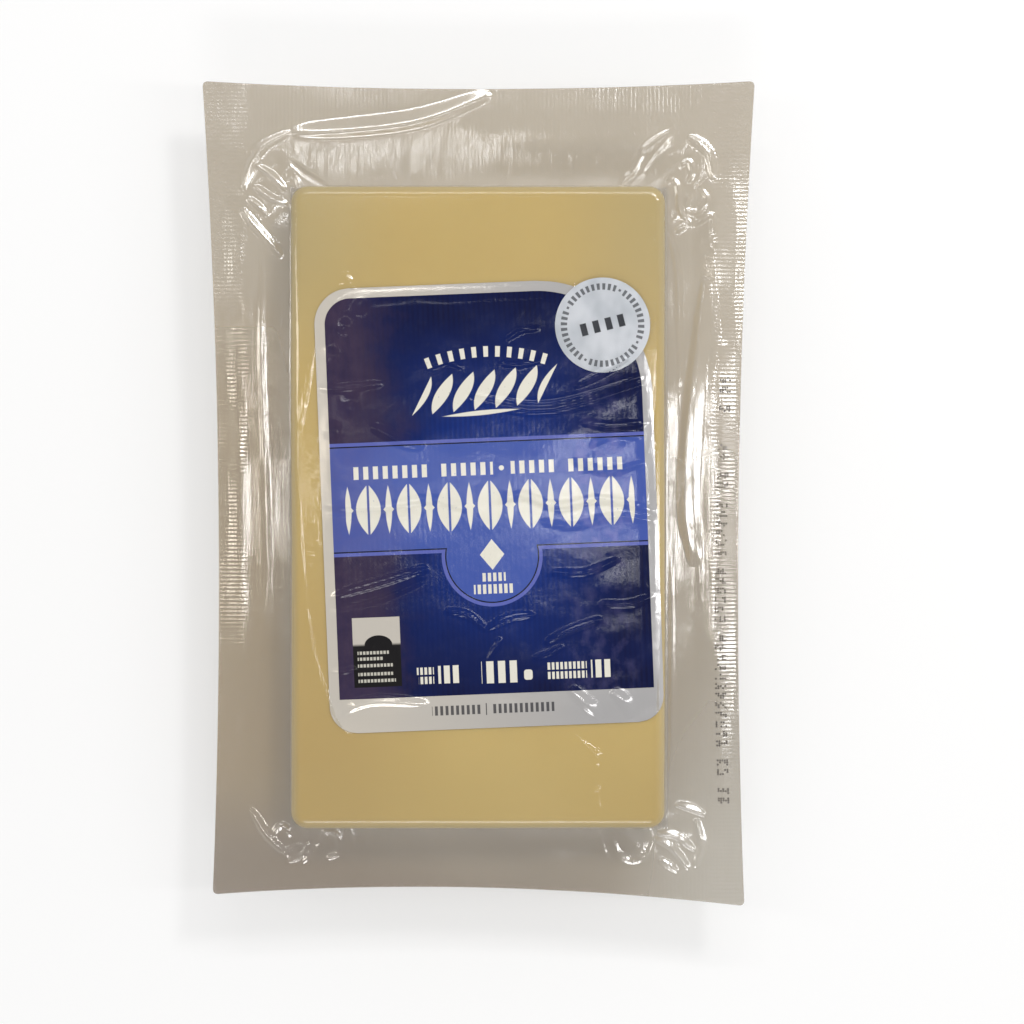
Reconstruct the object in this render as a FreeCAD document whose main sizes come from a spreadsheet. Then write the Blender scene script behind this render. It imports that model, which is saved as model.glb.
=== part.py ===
"""A block of cheddar sealed in a thermoformed vacuum pack, lying on its back with the label up.

Frame: +Z up, +Y towards the head of the pack, +X to the reader's right, millimetres.
The origin is the middle of the pack's outline, on the surface that the pack lies on.

Four pieces make the pack:
    cheese_block   the block of cheddar, its edges rounded by the pull of the film
    base_film      the formed web under the block, drawn up its sides and out into the flange
    lid_film       the top web over the block, sealed to the base web all round the flange
    label          the die-cut label on the lid, with a round lobe at one corner

The two webs follow the block as exact offsets of it, and meet on one gently curved seam surface.
"""

import FreeCAD
import Part
import Sketcher

import math
import os

PARTS_FOLDER = "parts"

# alias, value in millimetres or degrees, what it is
DIMENSIONS = [
    ("block_length", 151.9, "cheddar block along Y"),
    ("block_width", 88.5, "cheddar block along X"),
    ("block_height", 33.0, "cheddar block along Z"),
    ("block_corner_radius", 4.0, "rounding of the block's upright edges"),
    ("block_edge_radius", 2.5, "rounding of the block's top and bottom edges"),
    ("base_gauge", 0.20, "thickness of the formed web"),
    ("lid_gauge", 0.15, "thickness of the top web"),
    ("seam_height", 20.0, "where the two webs meet at the block's side"),
    ("pocket_gap_side", 12.5, "from the block's side to the formed pocket's edge"),
    ("pocket_gap_head", 14.55, "from the block's head to the formed pocket's edge"),
    ("pocket_gap_foot", 10.55, "from the block's foot to the formed pocket's edge"),
    ("pocket_corner_radius", 10.0, "corner of the formed pocket"),
    ("flange_side", 9.75, "from the pocket's side to the outline's corners at the head"),
    ("flange_head", 12.1, "from the pocket's head to the outline's corners"),
    ("flange_foot", 9.5, "from the pocket's foot to the outline's corner, right"),
    ("foot_taper", 2.5, "how much narrower the flange is at each corner of the foot"),
    ("foot_skew", 2.8, "how much shorter the flange's left side is"),
    ("side_pinch", 2.6, "how far each long side bows in"),
    ("head_pinch", 1.9, "how far the head bows in"),
    ("foot_pinch", 3.1, "how far the foot bows in"),
    ("pack_corner_radius", 1.4, "rounding of the outline's corners"),
    ("shoulder_rise", 1.6, "height of the ridge left along the pocket's edge"),
    ("shoulder_reach", 5.5, "how far that ridge spreads each way"),
    ("corner_lift", 2.4, "how far the flange's corners curl up"),
    ("label_margin_left", 7.5, "from the block's side to the label"),
    ("label_margin_right", 2.1, "from the block's side to the label"),
    ("label_margin_head", 23.1, "from the block's head to the label"),
    ("label_margin_foot", 24.0, "from the block's foot to the label"),
    ("label_thickness", 0.12, "label stock"),
    ("label_tilt", 2.3, "degrees that the label is turned, anticlockwise from above"),
    ("label_head_radius", 8.5, "label corner at the head, left"),
    ("label_sweep_radius", 27.0, "label corner at the head, right, behind the lobe"),
    ("label_foot_radius", 6.5, "label corners at the foot"),
    ("lobe_radius", 11.2, "round lobe of the label"),
    ("lobe_inset", 11.1, "lobe's middle from the label's head and right-hand side"),
]

# How finely the seam surface is controlled. These aren't sizes of the pack.
SEAM_POLE_SPACING = 3.0
SEAM_DEGREE = 3
SEAM_MARGIN = 9.0  # the seam surface runs this far past the outline before it is trimmed
ABOVE_EVERYTHING = 80.0  # taller than any piece

# Sums that follow from the sheet, as expressions on it.
HEAD_GAPS = "Params.flange_head + Params.pocket_gap_head"
FOOT_GAPS = "Params.flange_foot + Params.pocket_gap_foot"
BLOCK_MIDDLE_Y = f"(({FOOT_GAPS}) - ({HEAD_GAPS})) / 2"
LABEL_WIDTH = "Params.block_width - Params.label_margin_left - Params.label_margin_right"
LABEL_LENGTH = "Params.block_length - Params.label_margin_head - Params.label_margin_foot"

doc = FreeCAD.newDocument("CheddarPack")


def make_sheet():
    """The spreadsheet of driving dimensions, one aliased cell each."""
    sheet = doc.addObject("Spreadsheet::Sheet", "Params")
    for row, (alias, value, meaning) in enumerate(DIMENSIONS, start=1):
        sheet.set(f"A{row}", alias)
        sheet.set(f"B{row}", str(value))
        sheet.set(f"C{row}", meaning)
        sheet.setAlias(f"B{row}", alias)
    doc.recompute()
    return sheet


params = make_sheet()


def size(alias):
    """A driving dimension as a number."""
    return float(params.get(alias))


def pack_half_length():
    """Half the outline's length at its right-hand side."""
    gaps = ("flange_head", "pocket_gap_head", "pocket_gap_foot", "flange_foot")
    return (size("block_length") + sum(size(gap) for gap in gaps)) / 2


def pocket_half_width():
    """Half the formed pocket's width at the flange."""
    return size("block_width") / 2 + size("pocket_gap_side")


def origin_plane(body, role):
    """One of the body's own origin planes."""
    return next(f for f in body.Origin.OriginFeatures if f.Role == role)


def new_sketch(body, name):
    """An empty sketch on the body's XY plane."""
    sketch = body.newObject("Sketcher::SketchObject", name)
    sketch.AttachmentSupport = (origin_plane(body, "XY_Plane"), [""])
    sketch.MapMode = "FlatFace"
    return sketch


def add_driven(sketch, name, constraint, expression):
    """A named dimension of the sketch, driven by an expression on the sheet."""
    sketch.renameConstraint(sketch.addConstraint(constraint), name)
    sketch.setExpression("Constraints." + name, expression)


def add_rectangle(sketch, width, length):
    """A rectangle centred on the sketch's origin; width and length are expressions on the sheet."""
    corners = [FreeCAD.Vector(x, y, 0) for x, y in ((-1, -2), (1, -2), (1, 2), (-1, 2))]
    for i in range(4):
        sketch.addGeometry(Part.LineSegment(corners[i], corners[(i + 1) % 4]), False)
    for i in range(4):
        sketch.addConstraint(Sketcher.Constraint("Coincident", i, 2, (i + 1) % 4, 1))
    for side in (0, 2):
        sketch.addConstraint(Sketcher.Constraint("Horizontal", side))
    for side in (1, 3):
        sketch.addConstraint(Sketcher.Constraint("Vertical", side))
    sketch.addConstraint(Sketcher.Constraint("Symmetric", 0, 1, 1, 2, -1, 1))
    add_driven(sketch, "across", Sketcher.Constraint("DistanceX", 0, 1, 0, 2, 2.0), width)
    add_driven(sketch, "along", Sketcher.Constraint("DistanceY", 1, 1, 1, 2, 4.0), length)


def add_circle(sketch, radius, across, along):
    """A circle placed from the sketch's origin; all three are expressions on the sheet."""
    sketch.addGeometry(Part.Circle(FreeCAD.Vector(3, 4, 0), FreeCAD.Vector(0, 0, 1), 1), False)
    add_driven(sketch, "radius", Sketcher.Constraint("Radius", 0, 1.0), radius)
    add_driven(sketch, "across", Sketcher.Constraint("DistanceX", -1, 1, 0, 3, 3.0), across)
    add_driven(sketch, "along", Sketcher.Constraint("DistanceY", -1, 1, 0, 3, 4.0), along)


def pad(body, name, sketch, height):
    """A pad of the sketch; height is an expression on the sheet."""
    feature = body.newObject("PartDesign::Pad", name)
    feature.Profile = sketch
    feature.setExpression("Length", height)
    doc.recompute()
    return feature


def round_edges(body, name, base, radius, wanted):
    """A fillet on those edges of base that wanted accepts; radius is an expression on the sheet."""
    edges = base.Shape.Edges
    names = [f"Edge{i}" for i, edge in enumerate(edges, start=1) if wanted(edge)]
    feature = body.newObject("PartDesign::Fillet", name)
    feature.Base = (base, names)
    feature.setExpression("Radius", radius)
    doc.recompute()
    return feature


def is_upright(edge):
    """True for a straight edge along Z."""
    box = edge.BoundBox
    return box.XLength < 1e-6 and box.YLength < 1e-6


def is_level(edge):
    """True for an edge in a plane of constant Z."""
    return edge.BoundBox.ZLength < 1e-6


def rounded_block(label, growth):
    """The cheddar block's form, grown on every side by growth, an expression on the sheet.

    Its roundings grow by as much, so the form is an exact offset of the block.
    """
    body = doc.addObject("PartDesign::Body", label)
    body.Label = label
    plan = new_sketch(body, label + "_plan")
    width = f"Params.block_width + 2 * ({growth})"
    length = f"Params.block_length + 2 * ({growth})"
    add_rectangle(plan, width, length)
    block = pad(body, label + "_pad", plan, f"Params.block_height + 2 * ({growth})")
    corner = f"Params.block_corner_radius + ({growth})"
    corners = round_edges(body, label + "_corners", block, corner, is_upright)
    edge = f"Params.block_edge_radius + ({growth})"
    round_edges(body, label + "_edges", corners, edge, is_level)
    body.setExpression("Placement.Base.y", BLOCK_MIDDLE_Y)
    body.setExpression("Placement.Base.z", f"Params.base_gauge - ({growth})")
    doc.recompute()
    return body


def combine(kind, label, base, tool):
    """A Part::Cut, Part::Common or Part::Fuse of two objects."""
    feature = doc.addObject(kind, label)
    feature.Label = label
    feature.Base = base
    feature.Tool = tool
    doc.recompute()
    return feature


def shape_object(label, shape):
    """A Part::Feature that holds a shape made with Part's own functions."""
    feature = doc.addObject("Part::Feature", label)
    feature.Label = label
    feature.Shape = shape
    return feature


def past_pocket(x, y):
    """How far (x, y) is outside the formed pocket's outline, or minus how far inside."""
    head = pack_half_length() - size("flange_head")
    foot = -pack_half_length() + size("flange_foot")
    radius = size("pocket_corner_radius")
    over_x = abs(x) - (pocket_half_width() - radius)
    over_y = abs(y - (head + foot) / 2) - ((head - foot) / 2 - radius)
    outside = math.hypot(max(over_x, 0.0), max(over_y, 0.0))
    return outside + min(max(over_x, over_y), 0.0) - radius


def seam_z(x, y):
    """Height of the seam surface, where the two webs meet.

    It is level round the block, has a low ridge along the edge of the formed pocket, and curls
    up towards the corners of the flange.
    """
    distance = past_pocket(x, y)
    nearness = max(0.0, 1.0 - (distance / size("shoulder_reach")) ** 2)
    ridge = size("shoulder_rise") * nearness**2
    furthest = past_pocket(pocket_half_width() + size("flange_side"), pack_half_length())
    curl = size("corner_lift") * (max(distance, 0.0) / furthest) ** 3
    return size("seam_height") + ridge + curl


def pole_positions(half_span):
    """Evenly spaced positions of the seam surface's poles, from minus to plus half_span."""
    steps = math.ceil(2 * half_span / SEAM_POLE_SPACING)
    return [-half_span + 2 * half_span * i / steps for i in range(steps + 1)]


def seam_face():
    """The seam surface as one face, a little larger than the outline.

    It is a B-spline surface steered by its poles, so it is truly flat where they are level.
    """
    across = pole_positions(pocket_half_width() + size("flange_side") + SEAM_MARGIN)
    along = pole_positions(pack_half_length() + SEAM_MARGIN)
    poles = [[FreeCAD.Vector(x, y, seam_z(x, y)) for y in along] for x in across]
    knots = []
    repeats = []
    for positions in (across, along):
        spans = len(positions) - SEAM_DEGREE
        knots.append(list(range(spans + 1)))
        repeats.append([SEAM_DEGREE + 1] + [1] * (spans - 1) + [SEAM_DEGREE + 1])
    surface = Part.BSplineSurface()
    surface.buildFromPolesMultsKnots(
        poles, repeats[0], repeats[1], knots[0], knots[1], False, False, SEAM_DEGREE, SEAM_DEGREE
    )
    return surface.toShape()


def outline_prism():
    """An upright prism of the pack's outline: four sides that bow in, and rounded corners."""
    half_head = pocket_half_width() + size("flange_side")
    half_foot = half_head - size("foot_taper")
    head = pack_half_length()
    corners = [
        FreeCAD.Vector(-half_head, head, 0),
        FreeCAD.Vector(half_head, head, 0),
        FreeCAD.Vector(half_foot, -head, 0),
        FreeCAD.Vector(-half_foot, -head + size("foot_skew"), 0),
    ]
    pinches = [size("head_pinch"), size("side_pinch"), size("foot_pinch"), size("side_pinch")]
    edges = []
    for i, pinch in enumerate(pinches):
        start, end = corners[i], corners[(i + 1) % 4]
        along = (end - start).normalize()
        inward = FreeCAD.Vector(along.y, -along.x, 0)  # the corners run clockwise
        middle = (start + end) * 0.5 + inward * pinch
        edges.append(Part.Arc(start, middle, end).toShape())
    prism = Part.Face(Part.Wire(edges)).extrude(FreeCAD.Vector(0, 0, ABOVE_EVERYTHING))
    upright = [edge for edge in prism.Edges if is_upright(edge)]
    return prism.makeFillet(size("pack_corner_radius"), upright)


def make_webs(cheese):
    """The base and lid films: the shell that each draws over the block, and its flange."""
    seam = seam_face()
    outline = outline_prism()
    up = FreeCAD.Vector(0, 0, 1)
    above = shape_object("above_seam", seam.extrude(up * ABOVE_EVERYTHING))
    below = shape_object("below_seam", seam.extrude(up * -ABOVE_EVERYTHING))
    webs = []
    for label, gauge, side, direction in (
        ("base_film", "base_gauge", below, -1),
        ("lid_film", "lid_gauge", above, 1),
    ):
        form = rounded_block(label + "_form", "Params." + gauge)
        shell = combine("Part::Cut", label + "_shell", form, cheese)
        drawn = combine("Part::Common", label + "_drawn", shell, side)
        sheet = seam.extrude(up * direction * size(gauge)).common(outline)
        flange = shape_object(label + "_sheet", sheet)
        ring = combine("Part::Cut", label + "_ring", flange, cheese)
        webs.append(combine("Part::Fuse", label, drawn, ring))
    return webs


def make_label_die():
    """An upright prism of the label's outline, turned and placed over the block."""
    body = doc.addObject("PartDesign::Body", "label_die")
    body.Label = "label_die"
    plan = new_sketch(body, "label_plan")
    add_rectangle(plan, LABEL_WIDTH, LABEL_LENGTH)
    depth = "Params.block_edge_radius * 2"
    plate = pad(body, "label_pad", plan, depth)

    def in_quarter(sign_x, sign_y):
        """Accepts the upright edge in one quarter of the label."""

        def wanted(edge):
            middle = edge.BoundBox.Center
            return is_upright(edge) and middle.x * sign_x > 0 and middle.y * sign_y > 0

        return wanted

    for name, radius, sign_x, sign_y in (
        ("label_head", "Params.label_head_radius", -1, 1),
        ("label_sweep", "Params.label_sweep_radius", 1, 1),
        ("label_foot_left", "Params.label_foot_radius", -1, -1),
        ("label_foot_right", "Params.label_foot_radius", 1, -1),
    ):
        plate = round_edges(body, name, plate, radius, in_quarter(sign_x, sign_y))

    lobe = new_sketch(body, "lobe_plan")
    lobe_x = f"({LABEL_WIDTH}) / 2 - Params.lobe_inset"
    lobe_y = f"({LABEL_LENGTH}) / 2 - Params.lobe_inset"
    add_circle(lobe, "Params.lobe_radius", lobe_x, lobe_y)
    pad(body, "lobe_pad", lobe, depth)

    middle_x = "(Params.label_margin_left - Params.label_margin_right) / 2"
    middle_y = "(Params.label_margin_foot - Params.label_margin_head) / 2"
    top = "Params.base_gauge + Params.block_height"
    body.setExpression("Placement.Base.x", middle_x)
    body.setExpression("Placement.Base.y", f"{BLOCK_MIDDLE_Y} + {middle_y}")
    body.setExpression("Placement.Base.z", f"{top} - Params.block_edge_radius")
    body.setExpression("Placement.Rotation.Angle", "Params.label_tilt")
    doc.recompute()
    return body


def make_label():
    """The label: what its die cuts from a skin laid over the lid film, so it wraps the edge."""
    under = rounded_block("label_underside", "Params.lid_gauge")
    over = rounded_block("label_topside", "Params.lid_gauge + Params.label_thickness")
    skin = combine("Part::Cut", "label_skin", over, under)
    return combine("Part::Common", "label", skin, make_label_die())


def check_document():
    """Stops with a message if any object failed to compute."""
    doc.recompute()
    failed = [o.Label for o in doc.Objects if {"Invalid", "Error"} & set(o.State)]
    if failed:
        raise RuntimeError(f"these objects failed to compute: {failed}")


def write_parts(pieces):
    """Writes each piece's solid to its own STEP file, once all of them are checked."""
    for piece in pieces:
        shape = piece.Shape
        if shape.isNull() or not shape.isValid() or len(shape.Solids) != 1:
            raise RuntimeError(f"{piece.Label} isn't one valid solid")
    os.makedirs(PARTS_FOLDER, exist_ok=True)
    for piece in pieces:
        solid = piece.Shape.Solids[0]
        solid.exportStep(os.path.join(PARTS_FOLDER, piece.Label + ".step"))
        print(f"{piece.Label}: {solid.Volume:.1f} mm3, {len(solid.Faces)} faces")


cheese_block = rounded_block("cheese_block", "0")
base_film, lid_film = make_webs(cheese_block)
label = make_label()
check_document()
write_parts([cheese_block, base_film, lid_film, label])
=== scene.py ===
import math
from functools import partialmethod

import bmesh
import bpy
import numpy as np
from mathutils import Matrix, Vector


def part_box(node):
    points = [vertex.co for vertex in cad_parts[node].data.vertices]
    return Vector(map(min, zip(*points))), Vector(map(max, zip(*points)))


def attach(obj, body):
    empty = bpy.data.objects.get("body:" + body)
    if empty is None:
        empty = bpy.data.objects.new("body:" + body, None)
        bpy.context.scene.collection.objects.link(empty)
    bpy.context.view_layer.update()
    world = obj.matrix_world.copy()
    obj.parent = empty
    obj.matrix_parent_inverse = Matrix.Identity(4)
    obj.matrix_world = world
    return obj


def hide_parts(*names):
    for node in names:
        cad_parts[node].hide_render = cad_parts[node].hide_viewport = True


# Looks of a vacuum-packed block of cheddar. Plan places and sizes are in millimetres in the CAD
# frame: +Z up, +Y towards the head of the pack, +X to the reader's right. Meshes are in metres.

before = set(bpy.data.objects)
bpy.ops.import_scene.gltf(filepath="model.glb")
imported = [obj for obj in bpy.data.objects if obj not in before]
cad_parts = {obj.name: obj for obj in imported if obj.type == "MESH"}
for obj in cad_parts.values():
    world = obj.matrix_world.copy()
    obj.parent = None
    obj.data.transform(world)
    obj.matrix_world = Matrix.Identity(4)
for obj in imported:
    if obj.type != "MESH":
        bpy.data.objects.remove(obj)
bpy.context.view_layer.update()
MM = 0.001


def node_box(name):
    """Lowest and highest corner of a CAD node, in millimetres."""
    low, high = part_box(name)
    return np.array(low) / MM, np.array(high) / MM


# ---- Sizes. The block and the lid film's top come from the CAD frame. The rest repeats part.py.

BLOCK_LOW, BLOCK_HIGH = node_box("cheese_block")
LID_TOP = node_box("lid_film")[1][2]

BLOCK_HALF = (BLOCK_HIGH - BLOCK_LOW)[:2] / 2
BLOCK_MIDDLE = ((BLOCK_HIGH + BLOCK_LOW) / 2)[:2]
BLOCK_TOP = BLOCK_HIGH[2]
BLOCK_CORNER = 4  # rounding of the block's upright edges
BLOCK_EDGE = 2.5  # rounding of its top and bottom edges

LID_GAUGE = LID_TOP - BLOCK_TOP
BASE_GAUGE = 0.2
SEAM_HEIGHT = 20

HEAD_HALF = 66.5  # half the outline's width at its head
FOOT_HALF = 64
PACK_HALF = 99.3  # half the outline's length at the right
FOOT_SKEW = 2.8  # how much shorter it is at the left
SIDE_PINCH = 2.6  # how far each side bows inwards
HEAD_PINCH = 1.9
FOOT_PINCH = 3.1
OUTLINE_CORNER = 1.4

POCKET_HALF = np.array([56.75, 88.5])  # the formed pocket, out to where the seal begins
POCKET_MIDDLE = np.array([0, -1.3])
POCKET_CORNER = 10
SHOULDER_RISE = 0.7
SHOULDER_REACH = 5.5
CORNER_LIFT = 0.3
CORNER_REACH = 19.6  # from the pocket to a corner of the pack

LABEL_MIDDLE = np.array([2.7, -2.85])
LABEL_HALF = np.array([39.45, 52.4])
LABEL_TILT = math.radians(2.3)
LABEL_COS, LABEL_SIN = math.cos(LABEL_TILT), math.sin(LABEL_TILT)
LABEL_HEAD_RADIUS = 8.5
LABEL_SWEEP_RADIUS = 27
LABEL_FOOT_RADIUS = 6.5
LOBE_RADIUS = 11.2
LOBE_MIDDLE = LABEL_HALF - 11.1

# ---- Shape functions. All work on arrays.


def smoothstep(low, high, value):
    """0 below low, 1 above high, smooth between."""
    t = np.clip((value - low) / (high - low), 0, 1)
    return t * t * (3 - 2 * t)


def noise(x, y, cell_x, cell_y, seed):
    """Smooth noise from -1 to 1 with features about cell_x by cell_y millimetres."""
    side = 128
    table = np.random.default_rng(seed).uniform(-1, 1, (side, side))
    gx, gy = x / cell_x + 31.7, y / cell_y + 57.3
    ix, iy = np.floor(gx).astype(int), np.floor(gy).astype(int)
    fx, fy = gx - ix, gy - iy
    fx, fy = fx * fx * (3 - 2 * fx), fy * fy * (3 - 2 * fy)
    left, right = ix % side, (ix + 1) % side
    low, high = iy % side, (iy + 1) % side
    below = table[left, low] * (1 - fx) + table[right, low] * fx
    above = table[left, high] * (1 - fx) + table[right, high] * fx
    return below * (1 - fy) + above * fy


def rounded_rectangle(x, y, half, radius, middle=(0, 0)):
    """Signed distance to a rounded rectangle, negative inside."""
    over_x = np.abs(x - middle[0]) - (half[0] - radius)
    over_y = np.abs(y - middle[1]) - (half[1] - radius)
    outside = np.hypot(np.maximum(over_x, 0), np.maximum(over_y, 0))
    return outside + np.minimum(np.maximum(over_x, over_y), 0) - radius


def smooth_path(points, steps=6):
    """A smooth line through points, a Catmull-Rom curve, as a polyline."""
    p = np.array(points, float)
    p = np.vstack([2 * p[0] - p[1], p, 2 * p[-1] - p[-2]])
    line = []
    for a, b, c, d in zip(p, p[1:], p[2:], p[3:]):
        for t in np.arange(steps) / steps:
            bend = (2 * a - 5 * b + 4 * c - d) * t**2 + (3 * b - a - 3 * c + d) * t**3
            line.append(0.5 * (2 * b + (c - a) * t + bend))
    return np.array(line + [p[-2]])


LIT_SIDE = np.array([0.6, 0.8])  # the side that a crease turns its broad flank to
FLANK = 1.6  # reach of a crease's flank, as a share of its width


def crease(x, y, points, width, slope, lean=0):
    """A raised crease along a smooth line, tapering at both ends.

    Its two flanks have even slopes. lean makes the flank on LIT_SIDE the broader one, and slope
    is that flank's.
    """
    relief = np.zeros_like(x)
    line = smooth_path(points)
    reach = 3 * width
    low, high = line.min(0) - reach, line.max(0) + reach
    near = (x > low[0]) & (x < high[0]) & (y > low[1]) & (y < high[1])
    if not near.any():
        return relief
    px, py = x[near], y[near]
    nearest = np.full(px.shape, 1e9)
    lit = np.zeros_like(px)
    along = np.zeros_like(px)
    for i in range(len(line) - 1):
        start, step = line[i], line[i + 1] - line[i]
        length = np.hypot(*step) + 1e-9
        step = step / length
        dx, dy = px - start[0], py - start[1]
        t = np.clip(dx * step[0] + dy * step[1], 0, length)
        distance = np.hypot(dx - t * step[0], dy - t * step[1])
        closer = distance < nearest
        nearest[closer] = distance[closer]
        turned = step[0] * LIT_SIDE[1] - step[1] * LIT_SIDE[0]
        lit[closer] = (np.sign(turned) * (step[0] * dy - step[1] * dx))[closer]
        along[closer] = ((i + t / length) / (len(line) - 1))[closer]
    taper = np.clip(4 * along * (1 - along), 0, 1) ** 0.4
    height = slope * FLANK * width * (1 + lean)
    flank = FLANK * width * (0.4 + 0.6 * taper) * (1 + lean * np.tanh(3 * lit / width))
    tent = 1.05 - np.sqrt((nearest / flank) ** 2 + 0.02)
    relief[near] = height * taper * (tent + np.sqrt(tent**2 + 0.02)) / 2
    return relief


# ---- Folds of the film. Each is a line of places, a width, a slope and, for most, a lean.

FLANGE_FOLDS = [
    # head, left: four short folds fan out from the block's corner
    ([(-53.5, 79), (-50, 76.5), (-46.5, 73)], 0.68, 0.46, 0.3),
    ([(-54, 74), (-50, 71), (-46, 69.5)], 0.68, 0.46, 0.3),
    ([(-55.5, 71), (-53, 69), (-51, 67)], 0.59, 0.46, 0.3),
    ([(-57, 68.5), (-55, 65.5), (-51.5, 61.5), (-47.5, 57)], 0.77, 0.46, 0.3),
    ([(-44, 76.5), (-43, 73.5), (-44.5, 70.5)], 0.5, 0.46),
    ([(-45.5, 80), (-41, 76.5), (-36.5, 74)], 0.59, -0.4),
    ([(-56.5, 73.5), (-55, 79), (-51.5, 83.5), (-45, 87)], 0.8, 0.46, 0.2),
    # head, right: a long tongue, and a puckered pouch
    ([(34, 74), (37, 77.5), (40, 83), (46, 87.5)], 0.51, 0.46, 0.4),
    ([(35.5, 73.5), (39, 77), (43, 82.5), (46.5, 87)], 0.51, 0.46, -0.4),
    ([(45.5, 76), (47.5, 74.5), (48, 72), (48.5, 68), (51, 65)], 0.51, 0.46, 0.3),
    ([(50.5, 65), (53, 65.5), (56, 67), (56, 62.5)], 0.51, 0.46),
    ([(53, 74), (55, 71), (53, 68), (50, 68.5), (50.5, 71.5)], 0.5, 0.46),
    ([(48.5, 79), (50.5, 80), (51.5, 77.5), (50.5, 75)], 0.51, 0.46),
    ([(50.5, 86), (55, 82), (56.5, 75.5)], 0.8, 0.46, 0.2),
    ([(47.5, 63), (48.5, 64), (50, 65)], 0.5, 0.46),
    # foot, left: small loops and a knot
    ([(-50, -82.5), (-47.5, -80), (-45, -82.5)], 0.59, 0.46),
    ([(-46, -88.5), (-43, -87.5), (-41, -84)], 0.51, 0.46, 0.3),
    ([(-46, -87), (-44.5, -85), (-41.5, -85)], 0.51, 0.46, -0.3),
    ([(-42.5, -89), (-40.5, -87), (-38, -84.5)], 0.51, 0.46),
    ([(-38.5, -85), (-37, -81.5), (-34, -82.5), (-34, -86.5), (-36.5, -88)], 0.55, 0.46, 0.2),
    ([(-33.5, -79.5), (-31.5, -80), (-30.5, -83), (-31, -87.5)], 0.51, 0.46),
    ([(-55, -76), (-51, -82.5), (-45.5, -87.5)], 0.77, 0.46, 0.2),
    # foot, right: a ring with folds that burst from it
    ([(42, -83.5), (40.5, -87), (37, -88.5), (34, -87), (32.5, -83.5)], 0.55, 0.46),
    ([(32.5, -83.5), (34, -80), (37, -78.5), (40.5, -80), (42, -83.5)], 0.55, 0.46),
    ([(30.5, -79.5), (29.5, -83.5), (31, -88.5)], 0.5, 0.46),
    ([(42, -83), (46.5, -85.5), (50.5, -90.5)], 0.64, 0.46, 0.3),
    ([(43, -82), (47.5, -82.5), (52, -86)], 0.64, 0.46, 0.3),
    ([(47.5, -75), (51, -76), (54.5, -77.5)], 0.59, 0.46, 0.3),
    ([(52.5, -78.5), (53.5, -84.5), (52, -90)], 0.77, 0.46),
    ([(43.5, -88), (48, -91)], 0.59, 0.46),
    # long draws of the film along the sides
    ([(54.5, 52), (51, 22.5), (49.5, -1.5), (51.5, -17)], 1.6, 0.335, 0.35),
    ([(53, 40), (52, 6), (53.5, -27)], 0.5, 0.26),
    ([(-52, 57), (-52.5, 37), (-51.5, 4.5), (-51, -20.5), (-53, -42), (-55, -61)], 0.7, 0.21, 0.2),
    ([(46, 62.5), (48, 52.5), (48.5, 26)], 0.6, 0.26),
    ([(46.5, -15), (46.5, -57), (45.5, -72)], 0.6, 0.26),
    ([(-45, 86.5), (-33.5, 87), (-19, 88.5), (-9, 91), (3, 96)], 1.6, 0.34, 0.4),
    ([(57, -33), (58, -52), (59, -73)], 1.4, 0.12),
    ([(56.5, 60), (57.5, 50), (59, 36)], 1.4, 0.12),
    ([(-58.5, 40), (-57.5, -5), (-58.5, -48), (-59.5, -74)], 1.8, 0.1),
]

TOP_FOLDS = [
    # a taut draw of film down the left of the block's face
    ([(-43.5, 62), (-42.5, 40), (-43, 25), (-43, 4.5), (-40.5, -27)], 0.4, 0.42),
    ([(-40.5, -27), (-38, -41), (-33, -54), (-29.5, -58)], 0.4, 0.42),
    ([(-38.5, 37), (-40, 26.5), (-42, 15)], 0.4, 0.32),
    ([(41.5, 60), (43, 69), (44, 62)], 0.4, 0.42),
    ([(42.5, 60), (43, 22), (42.5, -16)], 0.35, 0.32),
    ([(43, -16), (42.5, -45), (43, -70)], 0.4, 0.32),
    ([(-32, 48.5), (-30.5, 50.5), (-29.5, 48)], 0.7, 0.42),
    # two small puckers at the foot of the face
    ([(28.5, -60.5), (28, -62), (28.5, -64)], 0.7, 0.42),
    ([(28.5, -69), (28, -72), (29, -75.5)], 0.6, 0.42),
]

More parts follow.
